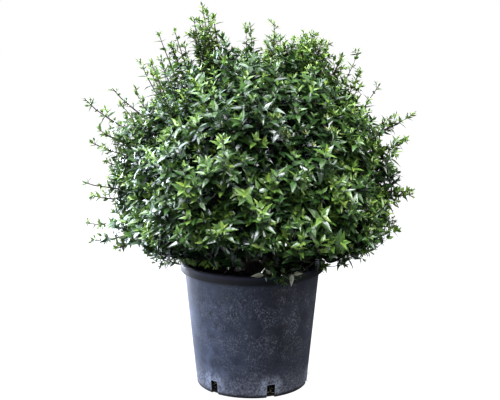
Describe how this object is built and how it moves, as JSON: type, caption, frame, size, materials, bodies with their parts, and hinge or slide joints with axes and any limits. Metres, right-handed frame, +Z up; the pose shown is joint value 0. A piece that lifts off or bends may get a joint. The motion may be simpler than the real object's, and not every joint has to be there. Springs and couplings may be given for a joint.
{
  "type": "potted evergreen shrub",
  "caption": "Dense, rounded abelia shrub with small glossy green leaves and loose new shoots, growing in a round black plastic nursery pot with drainage slots.",
  "frame": {"origin": "middle of the pot's flat underside", "axes": "+Z up along the pot's axis; -Y is the side that faces the viewer; +X is to the viewer's right"},
  "size_m": [0.9069, 0.819, 1.0523],
  "materials": {
    "pot_plastic": "matte black polypropylene, dusty and lightly scuffed",
    "soil": "dark moist bark compost",
    "bark": "thin brown bark",
    "leaves": "small glossy leaves, dark green, with yellow-green young ones at the tips"
  },
  "bodies": {
    "root": {"pot": "pot_plastic", "potting_soil": "soil", "stem_base": "bark", "bough_top_1": "bark", "bough_upper_1": "bark", "bough_upper_2": "bark", "bough_upper_3": "bark", "bough_upper_4": "bark", "bough_upper_5": "bark", "bough_middle_1": "bark", "bough_middle_2": "bark", "bough_middle_3": "bark", "bough_middle_4": "bark", "bough_middle_5": "bark", "bough_middle_6": "bark", "bough_lower_1": "bark", "bough_lower_2": "bark", "bough_lower_3": "bark", "bough_lower_4": "bark", "bough_lower_5": "bark", "bough_lower_6": "bark", "bough_lower_7": "bark", "foliage_top_1": "leaves", "foliage_upper_1": "leaves", "foliage_upper_2": "leaves", "foliage_upper_3": "leaves", "foliage_upper_4": "leaves", "foliage_upper_5": "leaves", "foliage_middle_1": "leaves", "foliage_middle_2": "leaves", "foliage_middle_3": "leaves", "foliage_middle_4": "leaves", "foliage_middle_5": "leaves", "foliage_middle_6": "leaves", "foliage_lower_1": "leaves", "foliage_lower_2": "leaves", "foliage_lower_3": "leaves", "foliage_lower_4": "leaves", "foliage_lower_5": "leaves", "foliage_lower_6": "leaves", "foliage_lower_7": "leaves"}
  },
  "joints": []
}
